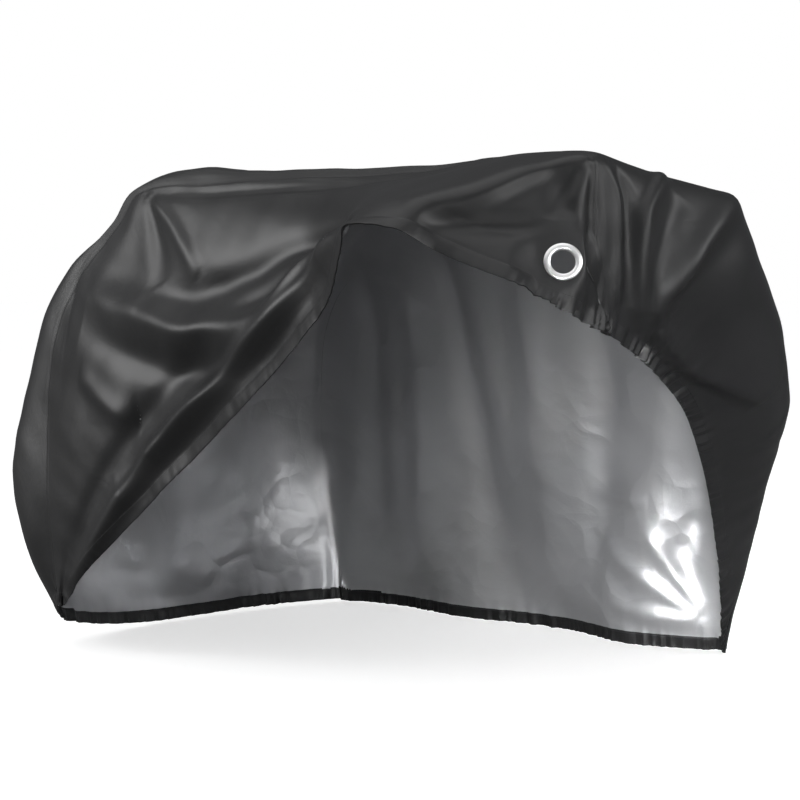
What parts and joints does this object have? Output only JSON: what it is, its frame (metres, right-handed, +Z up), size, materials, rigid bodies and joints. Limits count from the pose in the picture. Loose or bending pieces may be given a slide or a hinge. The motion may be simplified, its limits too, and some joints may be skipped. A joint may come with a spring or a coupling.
{
  "type": "fitted cloth bicycle cover",
  "caption": "Fitted weatherproof cloth cover for road bicycles standing side by side, black outside and silver inside, with an elastic hem and a lock eyelet, one side lifted.",
  "frame": {"origin": "middle of the base, on the ground under the hem", "axes": "+X towards the bicycles' front wheels, +Y towards the far side, +Z up"},
  "size_m": [1.5808, 1.168, 0.9663],
  "materials": {
    "cover_cloth": "black satin weave outside, silver coating inside",
    "eyelet_metal": "polished"
  },
  "bodies": {
    "root": {"near_side_panel": "cover_cloth", "top_gusset": "cover_cloth", "far_side_panel": "cover_cloth", "lock_eyelet": "eyelet_metal"}
  },
  "joints": []
}
